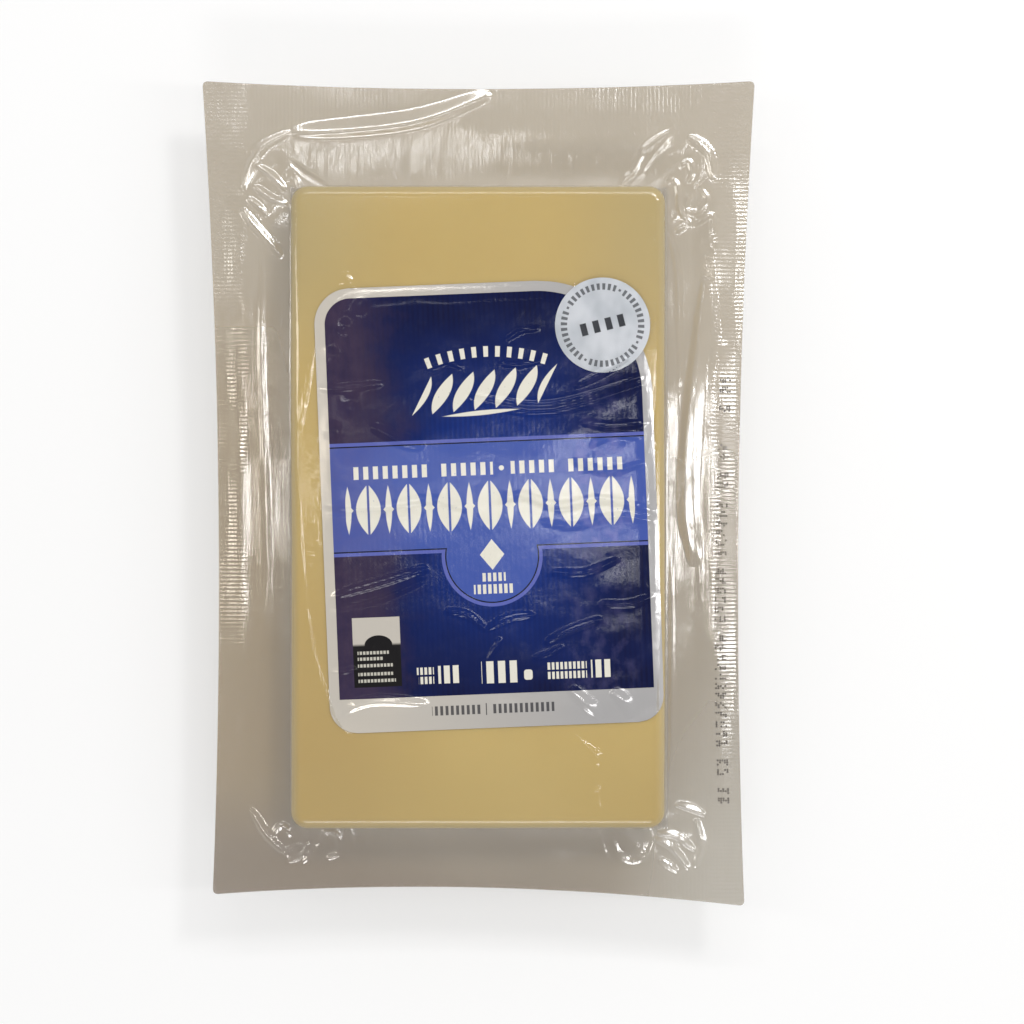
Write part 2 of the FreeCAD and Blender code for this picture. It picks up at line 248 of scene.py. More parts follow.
LABEL_FOLDS = [
    # the long crease between the two upper thirds, and the smaller ones that run beside it
    ([(-4, 26.5), (3, 24.5), (13, 23), (23, 24.5), (37.5, 29)], 0.5, 0.58, 0.5),
    ([(-3, 25), (4, 23), (13, 21.5), (23, 23), (38, 27)], 0.5, -0.55),
    ([(21, 27), (27, 29.5), (34.5, 33.5)], 0.62, 0.49, 0.4),
    ([(4, 33), (9, 32.5), (14, 33.5)], 0.31, 0.5, 0.4),
    ([(-12, 33), (-8.5, 34), (-5, 32.5)], 0.31, 0.44, 0.4),
    ([(5.5, 38.5), (9, 40.5), (13.5, 41)], 0.31, 0.45, 0.4),
    ([(-38.5, 1.5), (-26, 0), (-14, 1.5), (-5, -1)], 0.5, 0.47, 0.4),
    ([(-38.5, 0), (-28, -1), (-18, -0.5)], 0.5, -0.5),
    ([(2, 0.5), (8, 1.5), (16.5, -1.5), (26, 0), (39, -3)], 0.43, 0.6, 0.5),
    ([(12, -4.5), (20, -6), (29, -4), (39, -5.5)], 0.37, 0.52, 0.4),
    ([(20, 9.5), (28, 6.5), (37, 8.5)], 0.43, 0.46, 0.4),
    ([(22, 18.5), (30, 17), (38.5, 18)], 0.43, 0.52, 0.4),
    ([(24.5, 13), (30, 15), (36, 14.5)], 0.43, 0.44, 0.4),
    ([(-38.5, -20.5), (-27, -18), (-15, -14.5)], 0.62, 0.46, 0.5),
    ([(-38.5, -23), (-27, -21), (-16, -17)], 0.56, -0.49),
    ([(14, -16.5), (22, -17), (30, -14)], 0.43, 0.48, 0.5),
    ([(25, -24.5), (32, -25), (38, -23)], 0.5, 0.44, 0.5),
    ([(-11.5, -24.5), (-6, -26), (-2, -29.5)], 0.43, 0.52, 0.4),
    ([(-2, -29.5), (4, -27), (9.5, -26.5)], 0.5, 0.53, 0.5),
    ([(12, -33), (18, -30.5), (25.5, -28)], 0.5, 0.53, 0.5),
    ([(-2, -37), (0, -33.5), (1.5, -31.5)], 0.37, 0.52, 0.3),
    ([(9, -36.5), (13, -35.5), (16, -34)], 0.37, 0.48, 0.3),
    ([(-39, -37.5), (-36.5, -38), (-33, -37.5)], 0.37, 0.53, 0.4),
    ([(-39, -49), (-30, -45.5), (-16, -46.5)], 0.88, 0.22, 0.4),
    ([(17, -44), (20.5, -47.5), (24, -51.5)], 1.04, 0.23, 0.3),
    ([(27, -45), (30, -48), (31, -51.5)], 1.04, 0.23, 0.3),
    ([(-39, 29), (-34, 28.5), (-24, 29.5)], 0.56, 0.32, 0.4),
    ([(-27, 19.5), (-20, 15.5), (-15, 14.5)], 0.96, 0.27, 0.4),
]

LABEL_DENTS = [(-28.5, 48), (-32.5, 43.5), (-35.5, 36.5), (-31.5, 26), (-36, 19)]

CRUMPLES = [
    # middle of each crumpled corner, and how far it spreads
    ((-50, 75), 9),
    ((50, 75), 10),
    ((-44, -84.5), 10),
    ((44, -84.5), 11),
]


def flange_z(x, y):
    """Height of the sealed flange's top face."""
    distance = rounded_rectangle(x, y, POCKET_HALF, POCKET_CORNER, POCKET_MIDDLE)
    ridge = SHOULDER_RISE * np.clip(1 - (distance / SHOULDER_REACH) ** 2, 0, 1) ** 2
    curl = CORNER_LIFT * (np.maximum(distance, 0) / CORNER_REACH) ** 3
    # the shoulder is uneven: low at the head and foot, lower on the left, full on the right
    uneven = 0.45 + 0.55 * noise(x, y, 15, 17, 9)
    at_side = smoothstep(84, 60, np.abs(y - POCKET_MIDDLE[1]))
    uneven = uneven * (0.3 + 0.7 * at_side) + 0.3 * at_side * smoothstep(40, 56, x)
    uneven = uneven * (0.55 + 0.45 * smoothstep(-30, 0, x))
    z = SEAM_HEIGHT + LID_GAUGE + ridge * uneven + curl
    z = z + 0.45 * noise(x, y, 34, 30, 1) + 0.14 * noise(x, y, 9, 14, 2)
    from_block = rounded_rectangle(x, y, BLOCK_HALF, BLOCK_CORNER, BLOCK_MIDDLE)
    in_pocket = smoothstep(1.5, -2.5, distance)
    drawn = noise(x, y, 1.3, 16, 3) * smoothstep(1, 4, from_block)
    z = z + 0.02 * drawn * in_pocket + 0.02 * noise(x, y, 2.1, 9, 4)
    for (middle_x, middle_y), spread in CRUMPLES:
        amount = np.exp(-(((x - middle_x) ** 2 + (y - middle_y) ** 2) / spread**2) ** 2)
        folds = 1 - 2.2 * np.abs(noise(x + y, x - y, 9, 7, 5 + int(middle_x > 0)))
        z = z + amount * 0.14 * folds
    for fold in FLANGE_FOLDS:
        z = z + crease(x, y, *fold)
    return z


def top_relief(x, y):
    """Relief of the film over the block's face, above the block."""
    relief = 0.05 * noise(x, y, 20, 26, 11) + 0.012 * noise(x, y, 2.6, 9, 12)
    # specks beside the label's left edge
    specks = smoothstep(0.62, 0.9, noise(x, y, 0.9, 1.2, 13))
    beside_label = smoothstep(2.4, 0, np.abs(x + 38.6)) * smoothstep(22, 16, np.abs(y + 2))
    relief = relief + 0.25 * specks * beside_label
    for fold in TOP_FOLDS:
        relief = relief + crease(x, y, *fold)
    return relief


def label_local(x, y):
    """Places on the label, from its middle, along its own sides."""
    dx, dy = x - LABEL_MIDDLE[0], y - LABEL_MIDDLE[1]
    return dx * LABEL_COS + dy * LABEL_SIN, dy * LABEL_COS - dx * LABEL_SIN


def label_world(u, v):
    """The reverse of label_local."""
    x = LABEL_MIDDLE[0] + u * LABEL_COS - v * LABEL_SIN
    return x, LABEL_MIDDLE[1] + u * LABEL_SIN + v * LABEL_COS


def label_relief(u, v):
    """How far the label stands off the film: its edges lie down, and its creases stand up."""
    edge = -rounded_rectangle(u, v, LABEL_HALF, 12)
    inner = smoothstep(0, 5, edge)
    relief = 0.1 + 0.35 * inner
    relief = relief + 0.06 * noise(u, v, 9, 6, 21) * inner
    rougher = smoothstep(10, 26, u)  # towards the right
    relief = relief + (0.006 + 0.012 * rougher) * noise(u, v, 3.4, 2.2, 22)
    folds = np.zeros_like(u)
    for fold in LABEL_FOLDS:
        folds = folds + crease(u, v, *fold)
    for middle_u, middle_v in LABEL_DENTS:
        folds = folds - 0.28 * np.exp(-((u - middle_u) ** 2 + (v - middle_v) ** 2) / 1.6**2)
    return relief + np.clip(folds * (0.35 + 0.65 * inner), -0.32, 0.48)


# ---- Rings of points round the pack, from its outline in to the middle of the block.


def outline_edge(side, place):
    """Points of the pack's outline on one side, at places along it."""
    if side in ("right", "left"):
        foot = -PACK_HALF if side == "right" else -PACK_HALF + FOOT_SKEW
        u = (place - foot) / (PACK_HALF - foot)
        x = FOOT_HALF + (HEAD_HALF - FOOT_HALF) * u - SIDE_PINCH * 4 * u * (1 - u)
        return np.stack([x if side == "right" else -x, place], -1)
    half = HEAD_HALF if side == "head" else FOOT_HALF
    u = (place + half) / (2 * half)
    bow = 4 * u * (1 - u)
    if side == "head":
        return np.stack([place, PACK_HALF - HEAD_PINCH * bow], -1)
    return np.stack([place, -PACK_HALF + FOOT_SKEW * (1 - u) + FOOT_PINCH * bow], -1)


def lengths_along(line):
    """How far along a polyline each of its points lies."""
    return np.concatenate([[0], np.cumsum(np.hypot(*np.diff(line, axis=0).T))])


def resample(line, count):
    """count points evenly spaced along a polyline, without its last."""
    along = lengths_along(line)
    wanted = np.linspace(0, along[-1], count, endpoint=False)
    return np.stack([np.interp(wanted, along, line[:, k]) for k in (0, 1)], -1)


def outline_corner(first, first_from, second, second_to, signs):
    """The outline round one corner, from a place on one side to a place on the next."""
    corner_x = HEAD_HALF if signs[1] > 0 else FOOT_HALF
    corner_y = PACK_HALF if signs[1] > 0 else -PACK_HALF + (FOOT_SKEW if signs[0] < 0 else 0)
    corner = np.array([signs[0] * corner_x, corner_y])
    along_x = first in ("head", "foot")
    first_end, second_start = (corner[0], corner[1]) if along_x else (corner[1], corner[0])
    one = outline_edge(first, np.linspace(first_from, first_end, 200))
    two = outline_edge(second, np.linspace(second_start, second_to, 200))
    one_away, two_away = np.hypot(*(one - corner).T), np.hypot(*(two - corner).T)
    before = one[np.argmin(np.abs(one_away - OUTLINE_CORNER))]
    after = two[np.argmin(np.abs(two_away - OUTLINE_CORNER))]
    t = np.linspace(0, 1, 12)[:, None]
    bend = (1 - t) ** 2 * before + 2 * t * (1 - t) * corner + t**2 * after
    return np.vstack([one[one_away > OUTLINE_CORNER], bend, two[two_away > OUTLINE_CORNER]])


def ring(spacing):
    """Matching points round the pack, anticlockwise: block edge, its normal, outline and spine.

    The spine is the short line along the middle of the block that all rings close on.
    """
    straight = BLOCK_HALF - BLOCK_CORNER
    left, foot = BLOCK_MIDDLE - straight
    right, head = BLOCK_MIDDLE + straight
    sides = [
        # side, start, end, facing, centre and signs of its last corner, next side and its start
        ("right", foot, head, (1, 0), (right, head), (1, 1), "head", right),
        ("head", right, left, (0, 1), (left, head), (-1, 1), "left", head),
        ("left", head, foot, (-1, 0), (left, foot), (-1, -1), "foot", left),
        ("foot", left, right, (0, -1), (right, foot), (1, -1), "right", foot),
    ]
    base, normal, outer = [], [], []
    for turn, values in enumerate(sides):
        side, start, end, facing, centre, signs, following, following_from = values
        count = max(2, round(abs(end - start) / spacing))
        place = np.linspace(start, end, count, endpoint=False)
        line = np.tile(BLOCK_MIDDLE + np.array(facing) * BLOCK_HALF, (count, 1))
        line[:, 1 if facing[0] else 0] = place
        base.append(line)
        normal.append(np.tile(facing, (count, 1)))
        outer.append(outline_edge(side, place))
        path = outline_corner(side, end, following, following_from, signs)
        count = round(lengths_along(path)[-1] / spacing)
        angle = math.pi / 2 * (turn + np.arange(count) / count)
        out = np.stack([np.cos(angle), np.sin(angle)], -1)
        base.append(np.array(centre) + BLOCK_CORNER * out)
        normal.append(out)
        outer.append(resample(path, count))
    base, normal, outer = np.vstack(base), np.vstack(normal), np.vstack(outer)
    spine_half = BLOCK_HALF[1] - BLOCK_HALF[0]
    spine_y = np.clip(base[:, 1], BLOCK_MIDDLE[1] - spine_half, BLOCK_MIDDLE[1] + spine_half)
    inner = np.stack([np.full(len(base), BLOCK_MIDDLE[0]), spine_y], -1)
    return base, normal, outer, inner


def row(plan, z):
    """One ring of points from their plan places and heights."""
    return np.column_stack([plan, np.broadcast_to(z, len(plan))])


def row_faces(rows, count, closed=True):
    """Quads between rows of points that are stored row by row, each row a closed ring or open."""
    here = np.arange(count if closed else count - 1)
    following = (here + 1) % count
    start = np.arange(rows - 1)[:, None] * count
    quad = [start + here, start + following, start + count + following, start + count + here]
    return np.stack(quad, -1).reshape(-1, 4)


def ring_mesh(name, rows, facing_up):
    """A mesh of closed rings joined by quads, in metres, with points that coincide merged."""
    points = np.stack(rows) * MM
    faces = row_faces(*points.shape[:2])
    return mesh_object(name, points.reshape(-1, 3), faces if facing_up else faces[:, ::-1])


def mesh_object(name, points, faces, merge=True):
    """A smooth-shaded mesh object from points in metres and quads."""
    mesh = bpy.data.meshes.new(name)
    mesh.vertices.add(len(points))
    mesh.vertices.foreach_set("co", points.astype(np.float32).ravel())
    mesh.loops.add(faces.size)
    mesh.loops.foreach_set("vertex_index", faces.astype(np.int32).ravel())
    mesh.polygons.add(len(faces))
    mesh.polygons.foreach_set("loop_start", np.arange(0, faces.size, faces.shape[1], dtype=np.int32))
    mesh.update(calc_edges=True)
    mesh.validate()
    if merge:
        work = bmesh.new()
        work.from_mesh(mesh)
        bmesh.ops.remove_doubles(work, verts=work.verts, dist=2e-6)
        work.to_mesh(mesh)
        work.free()
    mesh.shade_smooth()
    thing = bpy.data.objects.new(name, mesh)
    bpy.context.scene.collection.objects.link(thing)
    return thing


# ---- The pieces.

FILLET = 1  # how the film rounds from the flange to the block's side
FILLET_RISE = 3.4  # and how far up that rounding goes
FINE = 0.45  # spacing of points round the lid
COARSE = 0.9  # and round the base and the cheese
SEAL_RIB = 0.95  # pitch of the sealer's ribs
LABEL_RIB = 1.2  # pitch of the label's fine upright ribs
LABEL_UV = "label_place"


def arc_steps(count):
    """Angles from 0 to a right angle, without the first."""
    return np.linspace(0, math.pi / 2, count + 1)[1:]


def shares(near, share, far):
    """Places from the block's rim, 0, to its middle, 1: finer steps over the first share."""
    fine = np.linspace(0, share, near, endpoint=False)
    return np.concatenate([fine, np.linspace(share, 1, far + 1)])


def wall_push(x, y, z):
    """How far the film stands off the block's side, in small upright gathers."""
    level = smoothstep(0, 3, z - 3) * smoothstep(BLOCK_TOP - 2, BLOCK_TOP - 6, z)
    return level * (0.1 + 0.1 * noise(x * 1.3 + y, z, 2.2, 9, 31))


def lid_rings(points):
    """Rings of the lid film's flange, rounded up to the block, and of its cap over the block."""
    base, normal, outer, spine = points
    foot_plan = base + normal * (LID_GAUGE + FILLET)
    flange = []
    for t in np.linspace(0, 1, 55):
        plan = outer + (foot_plan - outer) * t
        flange.append(row(plan, flange_z(*plan.T)))
    foot_z = flange[-1][:, 2]
    for angle in arc_steps(8):
        plan = base + normal * (LID_GAUGE + FILLET * (1 - math.sin(angle)))
        flange.append(row(plan, foot_z + FILLET_RISE * (1 - math.cos(angle))))
    cap = [flange[-1]]
    wall_foot = cap[-1][:, 2]
    wall_head = LID_TOP - BLOCK_EDGE - LID_GAUGE
    for t in np.arange(1, 9) / 8:
        z = wall_foot + (wall_head - wall_foot) * t
        cap.append(row(base + normal * (LID_GAUGE + wall_push(*base.T, z))[:, None], z))
    radius = BLOCK_EDGE + LID_GAUGE
    for angle in arc_steps(6):
        plan = base + normal * (LID_GAUGE - radius + radius * math.cos(angle))
        relief = top_relief(*plan.T) * math.sin(angle) ** 2
        cap.append(row(plan, LID_TOP - radius + radius * math.sin(angle) + relief))
    rim = base - normal * BLOCK_EDGE
    for t in shares(30, 0.34, 10)[1:]:
        plan = rim + (spine - rim) * t
        u, v = label_local(*plan.T)
        under_label = smoothstep(0.5, 4, -rounded_rectangle(u, v, LABEL_HALF, 9))
        relief = top_relief(*plan.T) * (1 - under_label) - 0.12 * under_label
        cap.append(row(plan, LID_TOP + relief))
    return flange, cap


def base_rings(points):
    """Rings of the formed web's flange and rim, and of its tray round the block."""
    base, normal, outer, spine = points
    thickness = BASE_GAUGE + LID_GAUGE
    foot_plan = base + normal * (BASE_GAUGE + FILLET)
    flange = [row(outer, flange_z(*outer.T))]
    for t in np.linspace(0, 1, 35):
        plan = outer + (foot_plan - outer) * t
        flange.append(row(plan, flange_z(*plan.T) - thickness))
    foot_z = flange[-1][:, 2]
    for angle in arc_steps(6):
        plan = base + normal * (BASE_GAUGE + FILLET * (1 - math.sin(angle)))
        flange.append(row(plan, foot_z - 1.8 * FILLET * (1 - math.cos(angle))))
    rings = [flange[-1]]
    wall_head = rings[-1][:, 2]
    radius = BLOCK_EDGE + BASE_GAUGE
    for t in np.arange(1, 15) / 14:
        z = wall_head + (radius - wall_head) * t
        rings.append(row(base + normal * (BASE_GAUGE + wall_push(*base.T, z))[:, None], z))
    for angle in arc_steps(6):
        plan = base + normal * (BASE_GAUGE - radius + radius * math.cos(angle))
        rings.append(row(plan, radius - radius * math.sin(angle)))
    rim = base - normal * BLOCK_EDGE
    for t in np.arange(1, 9) / 8:
        rings.append(row(rim + (spine - rim) * t, 0))
    return flange, rings


def cheese_rings(points):
    """Rings of the block of cheddar, from the middle of its underside to that of its face."""
    base, normal, _, spine = points
    low, high = BLOCK_LOW[2], BLOCK_TOP

    def wavy(plan, z):
        """A block that was cut and pressed isn't quite flat or straight."""
        x, y = plan.T
        return 0.1 * noise(x + z, y, 24, 30, 41) + 0.03 * noise(x, y + z, 6, 7, 42) - 0.13

    def face(t, z, up):
        rim = base - normal * BLOCK_EDGE
        plan = rim + (spine - rim) * t
        return row(plan, z + up * wavy(plan, z))

    def side(offset, z):
        return row(base + normal * (offset + wavy(base, z))[:, None], z)

    inwards = shares(20, 0.4, 10)
    rings = [face(t, low, -1) for t in inwards[::-1]]
    for angle in arc_steps(6)[:-1]:
        z = low + BLOCK_EDGE * (1 - math.cos(angle))
        rings.append(side(-BLOCK_EDGE * (1 - math.sin(angle)), z))
    for z in np.linspace(low + BLOCK_EDGE, high - BLOCK_EDGE, 12):
        rings.append(side(0, z))
    for angle in arc_steps(6)[:-1]:
        z = high - BLOCK_EDGE * (1 - math.sin(angle))
        rings.append(side(-BLOCK_EDGE * (1 - math.cos(angle)), z))
    rings += [face(t, high, 1) for t in inwards]
    return rings


def wrapped(x, y, height):
    """Points laid over the block's right-hand edge: past its start they follow its rounding."""
    start = BLOCK_HIGH[0] - BLOCK_EDGE
    radius = BLOCK_EDGE + LID_GAUGE
    over = np.maximum(x - start, 0)
    angle = np.minimum(over / radius, math.pi / 2)
    reach = radius + height
    bent_x = np.minimum(x, start) + reach * np.sin(angle)
    z = LID_TOP - radius + reach * np.cos(angle)
    return np.stack([bent_x, y, z], -1)


def label_half_width(v, side):
    """Half the label's width on one side at heights v, round its corners."""
    head = LABEL_SWEEP_RADIUS if side > 0 else LABEL_HEAD_RADIUS
    radius = np.where(v > 0, head, LABEL_FOOT_RADIUS)
    over = np.clip(np.abs(v) - (LABEL_HALF[1] - radius), 0, radius)
    return LABEL_HALF[0] - radius + np.sqrt(np.maximum(radius**2 - over**2, 0))


def add_uv(thing, u, v):
    """A UV map that holds places on the label: 0.01 for each millimetre from the middle."""
    layer = thing.data.uv_layers.new(name=LABEL_UV)
    corners = np.zeros(len(thing.data.loops), np.int32)
    thing.data.loops.foreach_get("vertex_index", corners)
    uv = np.stack([u[corners] * 0.01 + 0.5, v[corners] * 0.01 + 0.5], -1)
    layer.data.foreach_set("uv", uv.astype(np.float32).ravel())


def make_label():
    """The die-cut label: a creased sheet draped over the block's face."""
    rows, columns = 236, 176
    # rows lie closer at the head and foot, and none has no width
    v = -LABEL_HALF[1] * np.cos(np.linspace(0, math.pi, rows) * 0.999 + 0.0005)
    even = np.linspace(-LABEL_HALF[1] + 0.004, LABEL_HALF[1] - 0.004, rows)
    v = np.sort(0.72 * even + 0.28 * v)
    left, right = -label_half_width(v, -1), label_half_width(v, 1)
    share = np.linspace(0, 1, columns)
    u = left[:, None] + (right - left)[:, None] * share
    v = np.broadcast_to(v[:, None], u.shape)
    u, v = u.ravel(), v.ravel()
    x, y = label_world(u, v)
    points = wrapped(x, y, label_relief(u, v))
    faces = row_faces(rows, columns, closed=False)
    label = mesh_object("label_sheet", points * MM, faces, merge=False)
    add_uv(label, u, v)
    return label


def make_lobe():
    """The label's round silver lobe, as a disc that lies with the label."""
    spokes, circles = 120, 26
    radius = np.linspace(0.02, 1, circles)[:, None] ** 0.8 * LOBE_RADIUS
    angle = np.arange(spokes) / spokes * 2 * math.pi
    u = (LOBE_MIDDLE[0] + radius * np.cos(angle)).ravel()
    v = (LOBE_MIDDLE[1] + radius * np.sin(angle)).ravel()
    x, y = label_world(u, v)
    slope = 0.05 * noise(u, v, 7, 6, 51) + 0.012 * noise(u, v, 1.8, 2.1, 52)
    points = wrapped(x, y, np.maximum(label_relief(u, v), 0.42) + 0.06 + slope) * MM
    lobe = mesh_object("label_lobe", points, row_faces(circles, spokes)[:, ::-1], merge=False)
    work = bmesh.new()
    work.from_mesh(lobe.data)
    work.verts.ensure_lookup_table()
    bmesh.ops.contextual_create(work, geom=work.verts[:spokes])
    bmesh.ops.recalc_face_normals(work, faces=work.faces)
    work.to_mesh(lobe.data)
    work.free()
    lobe.data.shade_smooth()
    add_uv(lobe, u, v)
    return lobe


def make_code_marks():
    """A line of small printed dots up the right flange, where a pack has its date code."""
    rng = np.random.default_rng(8)
    pitch, dot, step = 2.3, 0.5, 0.5
    gap_chance, dot_chance = 0.18, 0.5
    path = smooth_path([(59, -74.4), (58.3, -50), (58.2, -20.8), (59.5, 31.2)], 40)
    along = lengths_along(path)
    places = []
    for number in range(int(along[-1] / pitch)):
        if rng.random() < gap_chance:
            continue
        for column in range(3):
            for line in range(5):
                if rng.random() < dot_chance:
                    places.append((number * pitch + column * step, (line - 2) * step * 1.15))
    at, across = np.array(places).T
    x = np.interp(at, along, path[:, 0]) + across
    y = np.interp(at, along, path[:, 1])
    angle = np.arange(8) / 8 * 2 * math.pi
    ox = (x[:, None] + dot / 2 * np.cos(angle)).ravel()
    oy = (y[:, None] + dot / 2 * np.sin(angle)).ravel()
    points = np.stack([ox, oy, flange_z(ox, oy) + 0.05], -1) * MM
    return mesh_object("code_marks", points, np.arange(len(points)).reshape(-1, 8), merge=False)


# ---- Materials.


def feed(socket, value):
    """Sets a socket to a constant, or links a field to it."""
    if isinstance(value, Field):
        value.tree.links.new(value.socket, socket)
    else:
        socket.default_value = value


class Field:
    """A number or colour that varies over a surface, with arithmetic that builds shader nodes."""

    def __init__(self, tree, socket):
        self.tree, self.socket = tree, socket

    def math(self, operation, *others):
        node = self.tree.nodes.new("ShaderNodeMath")
        node.operation = operation
        for socket, value in zip(node.inputs, (self, *others)):
            feed(socket, value)
        return Field(self.tree, node.outputs[0])

    __add__ = partialmethod(math, "ADD")
    __sub__ = partialmethod(math, "SUBTRACT")
    __mul__ = partialmethod(math, "MULTIPLY")
    __truediv__ = partialmethod(math, "DIVIDE")
    times_add = partialmethod(math, "MULTIPLY_ADD")
    abs = partialmethod(math, "ABSOLUTE")
    min = partialmethod(math, "MINIMUM")
    max = partialmethod(math, "MAXIMUM")
    above = partialmethod(math, "GREATER_THAN")  # 1 above a limit, 0 below it

    def hypot(self, other):
        return (self * self + other * other).math("SQRT")

    def ramp(self, low, high):
        """0 at low and 1 at high, which may be the other way round."""
        node = self.tree.nodes.new("ShaderNodeMapRange")
        node.interpolation_type = "SMOOTHSTEP"
        for name, value in (("Value", self), ("From Min", low), ("From Max", high)):
            feed(node.inputs[name], value)
        return Field(self.tree, node.outputs["Result"])

    def repeat(self, pitch):
        """Distance from the middle of each of the even stretches of length pitch."""
        return (self / pitch).math("FRACT").times_add(pitch, -pitch / 2)

    def rib(self, pitch):
        """Upright ribs: 0 at the middle of each stretch of length pitch, 1 at its ends."""
        return self.repeat(pitch).abs() * (2 / pitch)


def new_material(name):
    """A material with one Principled shader. Returns it, its node tree and that shader."""
    material = bpy.data.materials.new(name)
    material.use_nodes = True
    tree = material.node_tree
    return material, tree, tree.nodes["Principled BSDF"]


def settings(shader, **values):
    """Sets or feeds the shader's sockets by name, with _ for a space."""
    for name, value in values.items():
        feed(shader.inputs[name.replace("_", " ")], value)


def mixed(factor, first, second):
    """The colour between two colours, each a tuple or a field."""
    node = factor.tree.nodes.new("ShaderNodeMix")
    node.data_type = "RGBA"
    feed(node.inputs[0], factor)
    for index, colour in ((6, first), (7, second)):
        feed(node.inputs[index], (*colour, 1) if isinstance(colour, tuple) else colour)
    return Field(factor.tree, node.outputs[2])


def layered(colour, *layers):
    """Mixes colours over a first one, in turn. A layer is how much of it shows, and a colour."""
    for factor, tint in layers:
        colour = mixed(factor, colour, tint)
    return colour


def object_places(tree):
    """Object coordinates as three fields in millimetres."""
    node = tree.nodes.new("ShaderNodeTexCoord")
    split = tree.nodes.new("ShaderNodeSeparateXYZ")
    tree.links.new(node.outputs["Object"], split.inputs[0])
    return [Field(tree, output) * (1 / MM) for output in split.outputs]


def grain(places, cell, detail=2):
    """Noise from 0 to 1 with features about cell millimetres across along each axis."""
    tree = places[0].tree
    join = tree.nodes.new("ShaderNodeCombineXYZ")
    for place, size, socket in zip(places, cell, join.inputs):
        feed(socket, place / size)
    node = tree.nodes.new("ShaderNodeTexNoise")
    node.inputs["Scale"].default_value = 1
    node.inputs["Detail"].default_value = detail
    tree.links.new(join.outputs[0], node.inputs["Vector"])
    return Field(tree, node.outputs[0])


def bump(shader, height, full_range):
    """Drives the shader's normal with a height field whose full range is in millimetres."""
    node = height.tree.nodes.new("ShaderNodeBump")
    settings(node, Distance=full_range * MM, Strength=1, Height=height)
    height.tree.links.new(node.outputs[0], shader.inputs["Normal"])


def off_block(x, y):
    """How far a place lies outside the block's sides, and its ends, in plan."""
    return x.abs() - BLOCK_HALF[0], (y - BLOCK_MIDDLE[1]).abs() - BLOCK_HALF[1]


def flange_film(name):
    """A web of the sealed flange: a warm grey haze, drawn in fine lines, with the sealer's ribs."""
    material, tree, shader = new_material(name)
    x, y, z = object_places(tree)
    cloud = grain((x, y, z), (26, 34, 30))
    # painted shade: the film darkens towards the foot, over a cloudy tone that varies at random
    towards_foot = (y + x * -0.12).ramp(60, -100)
    shade = (towards_foot * 0.85 + (cloud - 0.5) * 0.5).max(0)
    # painted shade: the film darkens at the low left
    low_left = (x * 0.4 + y).ramp(-84, -108)
    left_side = x.ramp(-42, -50) * y.ramp(-88, -64) * y.ramp(60, 20)
    right_end = (x - y * 0.1).ramp(38, 62) * y.ramp(-20, -85)
    off_side, off_end = off_block(x, y)
    colour = layered(
        mixed(shade, (0.6, 0.51, 0.37), (0.335, 0.26, 0.17)),
        (low_left * 0.8, (0.25, 0.165, 0.085)),
        (left_side * 0.85, (0.43, 0.305, 0.145)),
        (right_end * 0.85, (0.6, 0.55, 0.45)),
        # painted shade in a narrow band where the film meets the block
        (off_side.max(off_end).ramp(1.8, 0.2) * 0.5, (0.22, 0.175, 0.125)),
    )

    # duller where it bends up at the block's ends
    dull = off_end.ramp(6, 1.5) * off_end.ramp(-3, 0.5) * off_side.ramp(2, -2)
    settings(shader, Base_Color=colour, Roughness=dull.times_add(0.14, 0.12))
    settings(shader, IOR=2.1, Specular_IOR_Level=1, Alpha=0.6)

    # ribs run across the seal; lines and waves are where the film was drawn
    beside = x.abs() - POCKET_HALF[0]
    beyond = (y - POCKET_MIDDLE[1]).abs() - POCKET_HALF[1]
    sealed = beside.max(beyond).ramp(-3, 2)
    rib_x, rib_y = x.rib(SEAL_RIB), y.rib(SEAL_RIB)
    ribs = rib_x + (rib_y - rib_x) * beside.ramp(-2, 0)
    lines = grain((x, y, z), (0.5, 8, 20))
    waves = grain((x, y, z), (2.6, 5, 20))
    bump(shader, ribs * sealed * 0.12 + (lines * 0.22 + waves * 0.24), 0.16)
    return material


def cap_film(name):
    """A single clear web that clings to the block, a little duller at the block's ends."""
    material, tree, shader = new_material(name)
    x, y, z = object_places(tree)
    cloud = grain((x, y, z), (18, 24, 10))
    colour = mixed(cloud, (0.6, 0.52, 0.36), (0.72, 0.64, 0.46))
    dull = off_block(x, y)[1].ramp(-4, -1)
    settings(shader, Base_Color=colour, Roughness=dull.times_add(0.16, 0.1))
    settings(shader, IOR=2.2, Specular_IOR_Level=1, Alpha=0.25)
    bump(shader, grain((x, y, z), (0.7, 8, 12)), 0.05)
    return material


def cheese_material():
    """Aged cheddar: pale straw, clouded, with a finely knitted curd."""
    material, tree, shader = new_material("cheese")
    x, y, z = object_places(tree)
    cloud = grain((x, y, z), (22, 30, 18), 3)
    curd = grain((x, y, z), (3.2, 2.6, 3), 4)
    texture = (cloud - 0.5).times_add(1.1, 0.5) * 0.7 + curd * 0.3
    low_left = (x + y * 0.2).ramp(-10, -48) * y.ramp(20, -70)
    low_middle = (x - 4).abs().ramp(34, 6) * y.ramp(-30, -70)
    high_sides = x.abs().ramp(14, 44) * y.ramp(20, 60)
    off_side, off_end = off_block(x, y)
    colour = layered(
        mixed(texture, (0.6, 0.405, 0.082), (0.67, 0.48, 0.115)),
        (low_left * 0.75, (0.52, 0.335, 0.066)),
        (low_middle * 0.5, (0.69, 0.5, 0.135)),
        (y.ramp(-50, -80) * 0.5, (0.53, 0.37, 0.09)),
        (high_sides * 0.55, (0.47, 0.375, 0.16)),
        (off_side.max(off_end).ramp(-3, 0) * 0.5, (0.46, 0.37, 0.17)),
    )
    settings(shader, Base_Color=colour, Roughness=0.6, Subsurface_Weight=0.12)
    settings(shader, Subsurface_Scale=0.002, Subsurface_Radius=(1, 0.7, 0.3))
    bump(shader, curd, 0.05)
    return material


